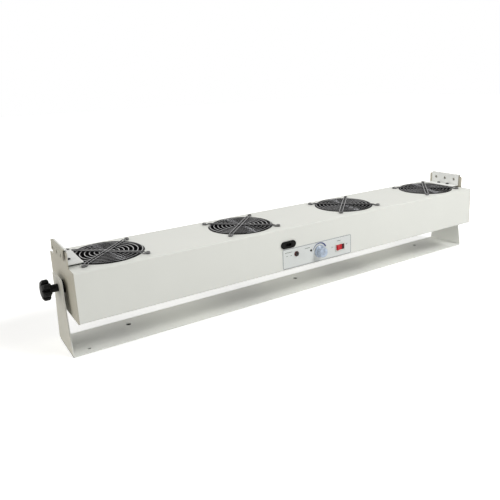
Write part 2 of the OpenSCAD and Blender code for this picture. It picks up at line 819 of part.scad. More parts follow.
// Loom along the back wall, with a clip at every half pitch and a branch to each fan
module wiring_harness() {
    loom_r = 3;
    loom_y = wall_y - 6;
    loom_z = top_z - 26;
    color("dimgray") {
        translate([0, loom_y, loom_z]) rotate([0, 90, 0])
            cylinder(r = loom_r, h = 3.4 * fan_pitch, center = true, $fn = 32);
        for (k = [-3 : 3]) translate([k * fan_pitch / 2, (loom_y + wall_y) / 2, loom_z])
            cube([8, wall_y - loom_y, 2 * loom_r + 1.6], center = true);
        for (i = [1 : 4]) translate([fan_x(i) + 20, loom_y, loom_z]) rotate([90, 0, 0])
            cylinder(r = 1.5, h = loom_y - fan_size / 2, $fn = 24);
    }
}

cradle();
housing_shell();
outlet_panel();
end_plate(-1);  // end_plate_left
end_plate(1);  // end_plate_right
hanger(-1);  // hanger_left
hanger(1);  // hanger_right
hanger_screws();
panel_screws();
pivot_spacer(-1);  // pivot_spacer_left
pivot_spacer(1);  // pivot_spacer_right
pivot_nut(-1);  // pivot_nut_left
pivot_nut(1);  // pivot_nut_right
clamp_knob(-1);  // clamp_knob_left
clamp_knob(1);  // clamp_knob_right
fan_frame(1);  // fan_frame_1
fan_frame(2);  // fan_frame_2
fan_frame(3);  // fan_frame_3
fan_frame(4);  // fan_frame_4
fan_stator(1);  // fan_stator_1
fan_stator(2);  // fan_stator_2
fan_stator(3);  // fan_stator_3
fan_stator(4);  // fan_stator_4
fan_rotor(1);  // fan_rotor_1
fan_rotor(2);  // fan_rotor_2
fan_rotor(3);  // fan_rotor_3
fan_rotor(4);  // fan_rotor_4
inlet_guard(1);  // inlet_guard_1
inlet_guard(2);  // inlet_guard_2
inlet_guard(3);  // inlet_guard_3
inlet_guard(4);  // inlet_guard_4
outlet_guard(1);  // outlet_guard_1
outlet_guard(2);  // outlet_guard_2
outlet_guard(3);  // outlet_guard_3
outlet_guard(4);  // outlet_guard_4
emitter_ring(1);  // emitter_ring_1
emitter_ring(2);  // emitter_ring_2
emitter_ring(3);  // emitter_ring_3
emitter_ring(4);  // emitter_ring_4
inlet_screws();
outlet_screws();
label_plate();
remote_socket();
ion_lamp();
dial_knob();
dial_pot();
switch_frame();
rocker();
trimmer_body();
trimmer_screw();
control_board();
hv_supply();
power_inlet();
wiring_harness();
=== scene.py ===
# %% [markdown]
# # Ionizing blower
# A long grey housing with four guarded fans hangs in a low strip cradle between two clamp knobs.
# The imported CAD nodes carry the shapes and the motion. This notebook adds finishes to them and
# replaces the plainest ones with finer pieces. Lengths are in metres.

# %% Load the frame
import math
import bmesh
import bpy
from mathutils import Matrix, Vector


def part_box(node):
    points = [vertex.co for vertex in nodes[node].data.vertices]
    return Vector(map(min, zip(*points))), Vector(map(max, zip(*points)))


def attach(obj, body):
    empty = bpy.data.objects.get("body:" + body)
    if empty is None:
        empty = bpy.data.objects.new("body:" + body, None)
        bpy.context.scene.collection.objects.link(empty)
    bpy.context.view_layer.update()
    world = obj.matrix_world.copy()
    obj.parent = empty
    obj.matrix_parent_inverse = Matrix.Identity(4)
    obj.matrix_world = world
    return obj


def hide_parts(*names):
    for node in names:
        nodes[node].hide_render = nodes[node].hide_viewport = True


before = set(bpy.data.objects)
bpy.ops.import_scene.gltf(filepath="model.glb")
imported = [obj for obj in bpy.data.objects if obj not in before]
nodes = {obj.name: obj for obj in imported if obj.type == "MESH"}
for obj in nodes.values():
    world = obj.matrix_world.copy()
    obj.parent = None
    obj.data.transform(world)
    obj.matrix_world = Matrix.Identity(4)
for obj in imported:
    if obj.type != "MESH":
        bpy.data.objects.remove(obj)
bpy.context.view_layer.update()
scene = bpy.context.scene

# %% [markdown]
# ## Main sizes
# Where things stand comes from the boxes of the CAD nodes, rounded to a micrometre because the
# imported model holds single-precision numbers. The same sizes could be typed again, but then they
# would be wrong as soon as the CAD changed. Only what a box can't tell is typed.

# %% Main sizes
MM = 0.001
SHEET = 1.2 * MM

def box_of(node):
    """Lowest and highest corner of a CAD node, to the nearest micrometre."""
    return [[round(v, 6) for v in corner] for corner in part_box(node)]

def middle_of(node):
    low, high = box_of(node)
    return [round((a + b) / 2, 6) for a, b in zip(low, high)]

shell_low, shell_high = box_of("housing_shell")
cradle_high = box_of("cradle")[1]
LOW, TOP = shell_low[2], shell_high[2]
FAN_TOP = TOP - SHEET
FAN_X = [middle_of(f"fan_frame_{i}")[0] for i in range(1, 5)]
print("housing from", LOW, "to", TOP, "with fans at", FAN_X)

# %% [markdown]
# ## Camera
# A normal lens looks down the housing from the left end of the control side, a little above it.
# A camera could be aimed at a target, which keeps it dead level. This one was solved for the view
# in which the fan guards, the housing's edges and the cradle's corners all line up, and that has a
# slight roll, so it is written as a position and two axes.

# %% Camera
CAMERA_PLACE = (-0.64224, -0.88949, 0.42472)
CAMERA_RIGHT = (0.83322, -0.551825, -0.035129)
CAMERA_UP = (0.166, 0.189037, 0.967837)
LENS_MM, SENSOR_MM = 39.2546, 36.0
LENS_SHIFT = (-0.03816, -0.06212)

def set_camera():
    data = bpy.data.cameras.new("camera")
    data.lens, data.sensor_width = LENS_MM, SENSOR_MM
    data.shift_x, data.shift_y = LENS_SHIFT
    data.clip_start, data.clip_end = 0.05, 50.0
    cam = bpy.data.objects.new("camera", data)
    right = Vector(CAMERA_RIGHT).normalized()
    up = Vector(CAMERA_UP).normalized()
    axes = Matrix((right, up, right.cross(up))).transposed()
    cam.matrix_world = Matrix.Translation(CAMERA_PLACE) @ axes.to_4x4()
    scene.collection.objects.link(cam)
    scene.camera = cam
    return cam

camera = set_camera()
print("camera at", tuple(round(v, 3) for v in camera.location))

# %% [markdown]
# ## Shader helpers
# Every finish and the studio are built from shader nodes. They could be laid out by hand in the
# editor, but nodes made by a script can be read and reused. These helpers add a node, link two
# sockets, and make what is used over and over: noise, a change of range, a mix and a split.

# %% Shader helpers
def node_tree(owner):
    owner.use_nodes = True
    tree = owner.node_tree
    tree.nodes.clear()
    return tree

def link(tree, a, b):
    tree.links.new(a, b)

def add(tree, kind, **settings):
    n = tree.nodes.new(kind)
    for key, value in settings.items():
        setattr(n, key, value)
    return n

def noise(tree, place, scale, detail=3.0, roughness=0.55):
    n = add(tree, "ShaderNodeTexNoise")
    n.inputs["Scale"].default_value = scale
    n.inputs["Detail"].default_value = detail
    n.inputs["Roughness"].default_value = roughness
    link(tree, place, n.inputs["Vector"])
    return n.outputs["Fac"]

def ranged(tree, source, low, high, start=0.3, end=0.7):
    """low where the source is at start or below, high where it is at end or above."""
    n = add(tree, "ShaderNodeMapRange")
    n.inputs["From Min"].default_value = start
    n.inputs["From Max"].default_value = end
    n.inputs["To Min"].default_value = low
    n.inputs["To Max"].default_value = high
    link(tree, source, n.inputs["Value"])
    return n.outputs["Result"]

def mixed(tree, factor, a, b):
    """Colour a where the factor is 0, b where it is 1. Each can be a value or a socket."""
    n = add(tree, "ShaderNodeMix", data_type="RGBA", blend_type="MIX")
    for socket, value in ((n.inputs[0], factor), (n.inputs[6], a), (n.inputs[7], b)):
        if isinstance(value, tuple):
            socket.default_value = (*value, 1)
        else:
            link(tree, value, socket)
    return n.outputs[2]

def split_xyz(tree, source):
    n = add(tree, "ShaderNodeSeparateXYZ")
    link(tree, source, n.inputs[0])
    return n.outputs

print("shader helpers ready")

# %% [markdown]
# ## Walls and backdrop
# Two pale walls throw light back on the blower, one behind it and one to its left. They could be
# planes, but a plane behind the blower would block a camera that looks from there. So the world
# stands for them: it is brighter towards each wall, by the cosine of the angle. The camera sees
# plain white instead, so the backdrop is clean without more light on the pale paint.

# %% Walls and backdrop
WALLS = (((0, 1, 0), 1.12), ((-1, 0, 0), 1.33))
WALL_COLOUR = (1.0, 0.99, 0.97, 1)
WHITE = (1, 1, 1, 1)

def seen_directly(tree):
    """1 for camera and transmission rays, 0 for the rest."""
    path = add(tree, "ShaderNodeLightPath")
    either = add(tree, "ShaderNodeMath", operation="MAXIMUM")
    link(tree, path.outputs["Is Camera Ray"], either.inputs[0])
    link(tree, path.outputs["Is Transmission Ray"], either.inputs[1])
    return either.outputs[0]

def wall_glow(tree):
    """Sum over the walls of strength times the cosine between ray and wall."""
    ray = add(tree, "ShaderNodeTexCoord").outputs["Generated"]
    total = None
    for way, strength in WALLS:
        facing = add(tree, "ShaderNodeVectorMath", operation="DOT_PRODUCT")
        facing.inputs[1].default_value = way
        link(tree, ray, facing.inputs[0])
        lit = add(tree, "ShaderNodeMath", operation="MAXIMUM")
        lit.inputs[1].default_value = 0.0
        link(tree, facing.outputs["Value"], lit.inputs[0])
        part = add(tree, "ShaderNodeMath", operation="MULTIPLY_ADD")
        part.inputs[1].default_value = strength
        part.inputs[2].default_value = 0.0
        link(tree, lit.outputs[0], part.inputs[0])
        if total is not None:
            link(tree, total, part.inputs[2])
        total = part.outputs[0]
    return total

def light_world():
    world = bpy.data.worlds.new("studio")
    scene.world = world
    tree = node_tree(world)
    dim = add(tree, "ShaderNodeBackground")
    dim.inputs["Color"].default_value = WALL_COLOUR
    link(tree, wall_glow(tree), dim.inputs["Strength"])
    bright = add(tree, "ShaderNodeBackground")
    bright.inputs["Color"].default_value = WHITE
    bright.inputs["Strength"].default_value = 1.0
    mix = add(tree, "ShaderNodeMixShader")
    out = add(tree, "ShaderNodeOutputWorld")
    link(tree, seen_directly(tree), mix.inputs[0])
    link(tree, dim.outputs[0], mix.inputs[1])
    link(tree, bright.outputs[0], mix.inputs[2])
    link(tree, mix.outputs[0], out.inputs[0])

scene.view_settings.view_transform = "Standard"
light_world()
print("walls:", len(WALLS))

# %% [markdown]
# ## Soft boxes
# Soft boxes are wide lamps whose shadows have soft edges. A sun would be simpler, but it lights a
# metre of housing all alike. Two boxes stand in front, high and to the right. The far one lights
# the whole length evenly, and the near one lets the light fall off towards the left end.

# %% Soft boxes
BOX_AIM = (0, 0, 0.1)

def soft_box(name, place, size, watts):
    data = bpy.data.lights.new(name, "AREA")
    data.shape, data.size, data.size_y = "RECTANGLE", size[0], size[1]
    data.energy = watts
    lamp = bpy.data.objects.new(name, data)
    lamp.location = place
    aim = Vector(BOX_AIM) - Vector(place)
    lamp.rotation_euler = aim.to_track_quat("-Z", "Y").to_euler()
    scene.collection.objects.link(lamp)

soft_box("far_box", (1.3, -2.3, 2.8), (1.6, 1.2), 27.3)
soft_box("near_box", (0.9, -1.4, 1.7), (1.0, 0.8), 25.8)
print("soft boxes: 2")

# %% [markdown]
# ## Floor
# The floor is pale paper and receives the shadow. Plain paper would come out grey, and lamps
# strong enough to whiten it would burn out the paint. So where the camera sees it, the paper gains
# some white of its own, and more with distance until it meets the backdrop. Where the base covers
# it, the paper is painted near black as painted shade, so the base's screw holes look into the
# dark.

# %% Floor
FLOOR_HALF, FLOOR_DROP = 8, 0.0002
# Painted shade: the near-black paper for where the base covers the floor.
PAPER, UNDER_BASE_SHADE = (0.86, 0.86, 0.85), (0.02, 0.02, 0.02)
COVERED_HALF = (cradle_high[0] - 1.0 * MM, cradle_high[1] - 0.5 * MM)
COVERED_EDGE = 0.3 * MM
FLOOR_LIFT = 0.45
LIFT_START, LIFT_END = 0.15, 0.8

def spread(tree, place, half_x, half_y):
    """Distance in metres outside a rectangle about the origin, 0 inside it."""
    outside = add(tree, "ShaderNodeVectorMath", operation="ABSOLUTE")
    link(tree, place, outside.inputs[0])
    past = add(tree, "ShaderNodeVectorMath", operation="SUBTRACT")
    past.inputs[1].default_value = (half_x, half_y, 1.0)
    link(tree, outside.outputs[0], past.inputs[0])
    clear = add(tree, "ShaderNodeVectorMath", operation="MAXIMUM")
    clear.inputs[1].default_value = (0, 0, 0)
    link(tree, past.outputs[0], clear.inputs[0])
    far = add(tree, "ShaderNodeVectorMath", operation="LENGTH")
    link(tree, clear.outputs[0], far.inputs[0])
    return far.outputs["Value"]

def floor_finish():
    mat = bpy.data.materials.new("floor_white")
    tree = node_tree(mat)
    place = add(tree, "ShaderNodeTexCoord").outputs["Object"]
    away = spread(tree, place, *COVERED_HALF)
    paper = add(tree, "ShaderNodeBsdfDiffuse")
    # Painted shade: near black, with no white of its own, where the base covers the floor.
    tone = mixed(tree, ranged(tree, away, 0, 1, 0, COVERED_EDGE), UNDER_BASE_SHADE, PAPER)
    link(tree, tone, paper.inputs["Color"])
    lift = add(tree, "ShaderNodeEmission")
    near = ranged(tree, away, 0, FLOOR_LIFT, 0, COVERED_EDGE)
    wide = ranged(tree, away, 0, 1 - FLOOR_LIFT, LIFT_START, LIFT_END)
    strength = add(tree, "ShaderNodeMath", operation="ADD")
    link(tree, near, strength.inputs[0])
    link(tree, wide, strength.inputs[1])
    link(tree, strength.outputs[0], lift.inputs["Strength"])
    both_shaders = add(tree, "ShaderNodeAddShader")
    mix = add(tree, "ShaderNodeMixShader")
    out = add(tree, "ShaderNodeOutputMaterial")
    link(tree, paper.outputs[0], both_shaders.inputs[0])
    link(tree, lift.outputs[0], both_shaders.inputs[1])
    link(tree, seen_directly(tree), mix.inputs[0])
    link(tree, paper.outputs[0], mix.inputs[1])
    link(tree, both_shaders.outputs[0], mix.inputs[2])
    link(tree, mix.outputs[0], out.inputs[0])
    return mat

def lay_floor():
    h = FLOOR_HALF
    mesh = bpy.data.meshes.new("floor")
    mesh.from_pydata([(-h, -h, 0), (h, -h, 0), (h, h, 0), (-h, h, 0)], [], [(0, 1, 2, 3)])
    floor = bpy.data.objects.new("floor", mesh)
    floor.location = (0, 0, -FLOOR_DROP)
    scene.collection.objects.link(floor)
    mesh.materials.append(floor_finish())

lay_floor()
print("floor laid, dark within", COVERED_HALF)

# %% [markdown]
# ## Finishes
# Real paint and plastic are never one flat colour. An image could carry the unevenness, but it
# needs unwrapped faces, and noise worked out from the position fits any mesh. One builder makes
# every opaque finish: broad noise shifts the colour by a few per cent, fine noise lifts a bump and
# moves the roughness, and an occlusion term darkens corners and creases, as painted shade and a
# trace of dust. The scales are in features per metre, because the CAD nodes sit at the origin.

# %% Finish builder
SHADE_AND_DUST_REACH = 6 * MM
COAT_ROUGH = 0.12
BUMP_STRENGTH = 0.6

def shade(colour, k):
    return tuple(min(1.0, c * k) for c in colour)

def finish(name, colour, rough, metal=0.0, drift=0.04, drift_scale=9.0, grain=1600.0,
           grain_depth=0.00002, rough_swing=0.06, coat=0.0, dust_and_shade=0.0, shade_and_dirt_tone=0.45, specular=0.5,
           paint=None):
    """drift and grain are the broad and the fine noise; corners darken towards a darker tone, as
    painted shade and dust.
    """
    mat = bpy.data.materials.new(name)
    tree = node_tree(mat)
    out = add(tree, "ShaderNodeOutputMaterial")
    skin = add(tree, "ShaderNodeBsdfPrincipled")
    link(tree, skin.outputs[0], out.inputs[0])
    place = add(tree, "ShaderNodeTexCoord").outputs["Object"]
    broad = noise(tree, place, drift_scale)
    fine = noise(tree, place, grain, 2.0)
    tone = mixed(tree, ranged(tree, broad, 0, 1), shade(colour, 1 - drift),
                 shade(colour, 1 + drift))
    if paint:
        tone = paint(tree, place, tone)
    # Painted shade: the occlusion term darkens corners and creases, together with a trace of dust.
    if dust_and_shade:
        hide = add(tree, "ShaderNodeAmbientOcclusion", samples=4)
        hide.inputs["Distance"].default_value = SHADE_AND_DUST_REACH
        tone = mixed(tree, ranged(tree, hide.outputs["AO"], dust_and_shade, 0, 0.35, 0.95), tone,
                     shade(colour, shade_and_dirt_tone))
    gloss = ranged(tree, fine, rough - rough_swing, rough + rough_swing)
    link(tree, tone, skin.inputs["Base Color"])
    link(tree, gloss, skin.inputs["Roughness"])
    skin.inputs["Metallic"].default_value = metal
    skin.inputs["Specular IOR Level"].default_value = specular
    skin.inputs["Coat Weight"].default_value = coat
    skin.inputs["Coat Roughness"].default_value = COAT_ROUGH
    bump = add(tree, "ShaderNodeBump")
    bump.inputs["Strength"].default_value = BUMP_STRENGTH
    bump.inputs["Distance"].default_value = grain_depth
    link(tree, fine, bump.inputs["Height"])
    link(tree, bump.outputs[0], skin.inputs["Normal"])
    return mat

print("finish builder ready")

# %% [markdown]
# ## Second colours
# Some pieces carry two tones, such as a hem with painted shade or a guard wire with a painted
# reflection on its flanks. Such a piece could be split and given two materials, but the CAD meshes
# stay as they are, so the place on the piece picks the colour. Each of these returns a function
# that lays a second colour over the first in one region, with an edge a fifth of a millimetre wide.

# %% Second colours
SOFT_EDGE = 0.1 * MM

def by_radius(centres, axis, radius, inside):
    """Paints a second colour within a radius of some centres, seen along one axis."""
    def paint(tree, place, tone):
        parts = split_xyz(tree, place)
        best = None
        for c in centres:
            flat = add(tree, "ShaderNodeCombineXYZ")
            for i in range(3):
                if i != axis:
                    link(tree, parts[i], flat.inputs[i])
            far = add(tree, "ShaderNodeVectorMath", operation="DISTANCE")
            link(tree, flat.outputs[0], far.inputs[0])
            far.inputs[1].default_value = tuple(0.0 if i == axis else c[i] for i in range(3))
            if best is None:
                best = far.outputs["Value"]
            else:
                near = add(tree, "ShaderNodeMath", operation="MINIMUM")
                link(tree, best, near.inputs[0])
                link(tree, far.outputs["Value"], near.inputs[1])
                best = near.outputs[0]
        cut = ranged(tree, best, 1, 0, radius - SOFT_EDGE, radius + SOFT_EDGE)
        return mixed(tree, cut, tone, inside)
    return paint

def past_plane(axis, limit, colour, below=False):
    """Paints a second colour where the distance from the middle along one axis passes a limit,
    or stays below it."""
    def paint(tree, place, tone):
        size = add(tree, "ShaderNodeMath", operation="ABSOLUTE")
        link(tree, split_xyz(tree, place)[axis], size.inputs[0])
        start, end = (1, 0) if below else (0, 1)
        cut = ranged(tree, size.outputs[0], start, end, limit - SOFT_EDGE, limit + SOFT_EDGE)
        return mixed(tree, cut, tone, colour)
    return paint

def on_flanks(colour, start, end):
    """Paints a second colour where the surface turns away from the vertical."""
    def paint(tree, place, tone):
        level = add(tree, "ShaderNodeMath", operation="ABSOLUTE")
        normal = add(tree, "ShaderNodeNewGeometry").outputs["Normal"]
        link(tree, split_xyz(tree, normal)[2], level.inputs[0])
        return mixed(tree, ranged(tree, level.outputs[0], 0, 1, start, end), colour, tone)
    return paint

def layers(*paints):
    def paint(tree, place, tone):
        for p in paints:
            tone = p(tree, place, tone)
        return tone
    return paint

print("second colours ready")

# %% [markdown]
# ## Paints
# Powder coat covers all the sheet metal: a light warm grey with the faint orange-peel texture that
# baked powder leaves. One paint for everything would be simpler, but the end plates, the hangers'
# hems and the outer faces of the cradle's arms get a warmer, darker grey as painted shade, and the
# hangers and the cradle's floor strip a lighter grey as painted light.

# %% Paints
# Painted shade: the warm, darker greys on this line and the next, for faces turned from the lamps.
GREY, END_SHADE_GREY = (0.765, 0.775, 0.73), (0.455, 0.43, 0.355)
HEM_SHADE, ARM_SHADE = (0.40, 0.385, 0.315), (0.565, 0.55, 0.48)
# Painted light: the lighter greys for the hangers and the cradle's floor strip.
HANGER_LIT_GREY, BASE_LIT_GREY = (0.80, 0.81, 0.785), (0.87, 0.88, 0.835)
HEM_PLANE = box_of("end_plate_right")[1][0] - 0.3 * MM
ARM_PLANE = cradle_high[0] - 0.4 * MM
BASE_PLANE = 2.5 * MM

powder_kind = dict(drift=0.012, grain=1300.0, grain_depth=0.00003, specular=0.4)
powder = finish("powder_coat_grey", GREY, 0.42, dust_and_shade=0.2, **powder_kind)
# The end plates are painted in the darker warm grey as painted shade.
end_powder = finish("powder_coat_end", END_SHADE_GREY, 0.45, dust_and_shade=0.15, **powder_kind)
# The hangers are painted a lighter grey as painted light, and their hems darker as painted shade.
hanger_powder = finish("powder_coat_hanger", HANGER_LIT_GREY, 0.42, dust_and_shade=0.15,
                       paint=past_plane(0, HEM_PLANE, HEM_SHADE), **powder_kind)
# The floor strip is painted lighter as painted light, the arms' outer faces darker as painted
# shade.
cradle_powder = finish("powder_coat_cradle", GREY, 0.42, dust_and_shade=0.15,
                       paint=layers(past_plane(2, BASE_PLANE, BASE_LIT_GREY, below=True),
                                    past_plane(0, ARM_PLANE, ARM_SHADE)), **powder_kind)
print("paints ready")

# %% [markdown]
# ## Plastics
# The fans, knobs and sockets are black mouldings. They could share one black, but gloss tells them
# apart: fan plastic is glass-filled nylon with a dull sheen, and the knobs are a smoother phenolic
# that takes a broad highlight. The rocker is red with its right third painted near black as painted
# shade, the speed dial is blue-grey with flutes that the occlusion term darkens as painted shade
# rather than with painted stripes, and the lamp is a dark red lens with a near-black centre, as it
# looks when it is off.

# %% Plastics
EMITTER_RIM_R = 54.2 * MM
ROCKER_SHADE_X = 60.5 * MM
LAMP_DARK_R = 3.4 * MM

fan_black = finish("fan_nylon", (0.010, 0.010, 0.011), 0.5, drift=0.2, drift_scale=60.0,
                   grain=2200.0, grain_depth=0.00004, specular=0.15)
rotor_black = finish("rotor_nylon", (0.014, 0.014, 0.015), 0.45, drift=0.15, drift_scale=60.0,
                     grain=2600.0, grain_depth=0.00002, specular=0.2)
knob_black = finish("knob_phenolic", (0.006, 0.006, 0.0065), 0.4, drift=0.2, drift_scale=90.0,
                    grain=1500.0, grain_depth=0.00004, specular=0.22)
socket_black = finish("socket_plastic", (0.006, 0.006, 0.006), 0.45, drift=0.15,
                      drift_scale=90.0, specular=0.15)
white_nylon = finish("emitter_plastic", (0.72, 0.72, 0.69), 0.4, drift=0.03, dust_and_shade=0.3,
                     paint=by_radius([(x, 0, 0) for x in FAN_X], 2, EMITTER_RIM_R,
                                     (0.45, 0.45, 0.46)))
switch_grey = finish("switch_plastic", (0.70, 0.70, 0.66), 0.36, drift=0.02)
# Painted shade: the rocker's right third is painted near black.
rocker_red = finish("rocker_plastic", (0.55, 0.008, 0.018), 0.28, drift=0.05, drift_scale=120.0,
                    grain_depth=0.00001, specular=0.3,
                    paint=past_plane(0, ROCKER_SHADE_X, (0.055, 0.006, 0.008)))
# Painted shade: a strong occlusion term paints the dial's flutes dark.
dial_skin = finish("dial_plastic", (0.44, 0.52, 0.64), 0.22, drift=0.2, drift_scale=160.0,
                   grain_depth=0.00001, coat=0.5, dust_and_shade=1.0, shade_and_dirt_tone=0.16)
lamp_red = finish("lamp_lens", (0.075, 0.008, 0.006), 0.2, drift=0.1, drift_scale=200.0,
                  grain_depth=0.000005, coat=0.2,
                  paint=by_radius([middle_of("ion_lamp")], 1, LAMP_DARK_R,
                                  (0.006, 0.002, 0.002)))
board_green = finish("board_mask", (0.02, 0.13, 0.05), 0.35, drift=0.15, drift_scale=200.0)
potting = finish("potting_compound", (0.025, 0.028, 0.032), 0.3, drift=0.1, drift_scale=60.0)
cable_black = finish("cable_sleeve", (0.02, 0.02, 0.021), 0.55, drift=0.2, drift_scale=200.0,
                     grain=900.0, grain_depth=0.0002)
trim_blue = finish("trimmer_case", (0.03, 0.09, 0.4), 0.35, drift=0.05)
label_film = finish("label_film", (0.70, 0.725, 0.71), 0.3, drift=0.012, grain=3000.0,
                    grain_depth=0.000006, specular=0.45)
print("plastics ready")

# %% [markdown]
# ## Metals
# Wire guards are nickel-chrome over drawn steel, bright along the top of each wire. A plain mirror
# finish would reflect the white room all round the wire and look paler than the real thing, so a
# near-black painted reflection of the dark fans is laid wherever the wire turns away from the
# vertical. The guard screws are steel gone grey, the other screws are blackened, the nuts zinc
# plated, and the windings enamelled copper.

# %% Metals
# Painted reflection: the near-black flanks stand for the dark fans that the wire would reflect.
wire_chrome = finish("plated_wire", (0.58, 0.58, 0.59), 0.3, metal=1.0, drift=0.12,
                     drift_scale=300.0, grain=5000.0, grain_depth=0.00001, rough_swing=0.08,
                     paint=on_flanks((0.05, 0.05, 0.053), 0.45, 0.95))
zinc = finish("zinc_plate", (0.58, 0.58, 0.55), 0.32, metal=1.0, drift=0.1, drift_scale=200.0)
black_steel = finish("blackened_steel", (0.035, 0.035, 0.037), 0.36, metal=0.6, drift=0.3,
                     drift_scale=300.0)
bright_steel = finish("bright_screws", (0.22, 0.22, 0.22), 0.3, metal=1.0, drift=0.15,
                      drift_scale=300.0)
copper = finish("enamelled_copper", (0.42, 0.16, 0.06), 0.3, metal=0.8, drift=0.25,
                drift_scale=500.0, grain=900.0, grain_depth=0.0003)
print("metals ready")

# %% [markdown]
# ## Dress the CAD nodes
# Each CAD node takes its finish and its shading. Flat shading would show the facets of every round
# wall, and smooth shading alone would smear the light over square edges. So it is smooth and
# broken where faces meet at more than 35 degrees, or 60 on the round wire of the guards.

# %% Dress
def dress(names, mat, angle=35):
    for name in names:
        o = nodes[name]
        o.data.materials.clear()
        o.data.materials.append(mat)
        o.data.shade_smooth()
        o.data.set_sharp_from_angle(angle=math.radians(angle))

def four(stem):
    return [f"{stem}_{i}" for i in range(1, 5)]

def both(stem):
    return [stem + "_left", stem + "_right"]

dress(["housing_shell", "outlet_panel"], powder)
dress(["cradle"], cradle_powder)
dress(both("hanger"), hanger_powder)
dress(both("end_plate"), end_powder)
dress(four("inlet_guard") + four("outlet_guard"), wire_chrome, angle=60)
dress(four("fan_frame"), fan_black)
dress(four("fan_rotor"), rotor_black)
dress(four("fan_stator"), copper)
dress(four("emitter_ring"), white_nylon)
dress(both("clamp_knob"), knob_black)
dress(both("pivot_spacer"), socket_black)
dress(both("pivot_nut"), zinc)
dress(["hanger_screws", "panel_screws"], black_steel)
dress(["inlet_screws", "outlet_screws"], bright_steel)
dress(["label_plate"], label_film)
dress(["remote_socket", "power_inlet"], socket_black)
dress(["ion_lamp"], lamp_red)
dress(["dial_knob"], dial_skin)
dress(["dial_pot"], zinc)
dress(["switch_frame"], switch_grey)
dress(["rocker"], rocker_red)
dress(["trimmer_body"], trim_blue)
dress(["trimmer_screw"], socket_black)
dress(["control_board"], board_green)
dress(["hv_supply"], potting)
dress(["wiring_harness"], cable_black)
bare = [n for n, o in nodes.items() if not o.data.materials or o.data.materials[0] is None]
print("dressed", len(nodes), "nodes; without a finish:", bare)

# %% [markdown]
# ## Solids
# Screws, nuts, spacers and hubs are turned parts. They could be stacks of cylinders and cones, but
# one profile of radius and height spun about Z, as on a lathe, gives one closed solid with no faces
# hidden inside. A tool can be cut out of a solid, and placed copies can be joined in one mesh.

# %% Solids
def in_mm(profile):
    return [(r * MM, z * MM) for r, z in profile]

def turned(profile, steps):
    """Spins (radius, height) pairs about Z and closes both ends. Radius 0 gives one point."""
    bm = bmesh.new()
    rings = []
    for r, z in profile:
        if r == 0:
            rings.append([bm.verts.new((0, 0, z))])
            continue
        ring = []
        for k in range(steps):
            a = 2 * math.pi * k / steps
            ring.append(bm.verts.new((r * math.cos(a), r * math.sin(a), z)))
        rings.append(ring)
    for low, high in zip(rings, rings[1:]):
        for k in range(steps):
            a, b = k, (k + 1) % steps
            corners = [low[a % len(low)], low[b % len(low)],
                       high[b % len(high)], high[a % len(high)]]
            face = list(dict.fromkeys(corners))
            if len(face) > 2:
                bm.faces.new(face)
    for ring, flip in ((rings[0], True), (rings[-1], False)):
        if len(ring) > 2:
            bm.faces.new(list(reversed(ring)) if flip else ring)
    bmesh.ops.recalc_face_normals(bm, faces=bm.faces)
    return bm

def boxed(size, place):
    bm = bmesh.new()
    bmesh.ops.create_cube(bm, size=1.0)
    bmesh.ops.scale(bm, vec=size, verts=bm.verts)
    bmesh.ops.translate(bm, vec=place, verts=bm.verts)
    return bm

def as_mesh(bm, name):
    mesh = bpy.data.meshes.new(name)
    bm.to_mesh(mesh)
    bm.free()
    return mesh

def joined(parts, name):
    """One mesh from (mesh, matrix) pairs."""
    bm = bmesh.new()
    for mesh, matrix in parts:
        part = bmesh.new()
        part.from_mesh(mesh)
        part.transform(matrix)
        temp = as_mesh(part, "temp")
        bm.from_mesh(temp)
        bpy.data.meshes.remove(temp)
    return as_mesh(bm, name)

def cut_out(solid, tool, name):
    """Subtracts one mesh from another and returns the result."""
    a = bpy.data.objects.new("solid", solid)
    b = bpy.data.objects.new("tool", tool)
    scene.collection.objects.link(a)
    scene.collection.objects.link(b)
    m = a.modifiers.new("cut", "BOOLEAN")
    m.operation, m.solver, m.object = "DIFFERENCE", "EXACT", b
    bpy.context.view_layer.update()
    seen = bpy.context.evaluated_depsgraph_get()
    result = bpy.data.meshes.new_from_object(a.evaluated_get(seen))
    result.name = name
    for o in (a, b):
        bpy.data.objects.remove(o)
    return result

print("solids ready")

# %% [markdown]
# ## Placing pieces
# A piece could be parented and tagged by hand each time. One function does it the same way for
# all: it names the body that the piece rides on, says which CAD nodes it stands for, and which
# material slot its finish comes from.

# %% Placing pieces
def piece(name, mesh, mat, body, angle=35, stands_for=()):
    mesh.materials.append(mat)
    mesh.shade_smooth()
    mesh.set_sharp_from_angle(angle=math.radians(angle))
    o = bpy.data.objects.new(name, mesh)
    scene.collection.objects.link(o)
    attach(o, body)
    if stands_for:
        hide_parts(*stands_for)

def screw_piece(node, parts, mat):
    """The finer set of screws that stands for a CAD node of screws."""
    name = node.replace("screws", "screw_set")
    piece(name, joined(parts, name), mat, "housing", stands_for=[node])

def at(x, y, z):
    return Matrix.Translation((x, y, z))

def turn(degrees, axis):
    return Matrix.Rotation(math.radians(degrees), 4, axis)

def shrunk(across, along):
    return Matrix.Diagonal((across, across, along, 1))

print("placing ready")

# %% [markdown]
# ## Screw parts
# Every screw is a pan head with a cross recess. The recess could be a dark patch, but it would
# stay flat in raking light, so two tapered bars are cut out of the crowned head. Each shank rises
# and falls once a pitch, which looks like rolled thread and is far lighter than a true helix. The
# nuts are hexagons with their corners turned down.

# %% Screw parts
RECESS_TAPER = 0.55

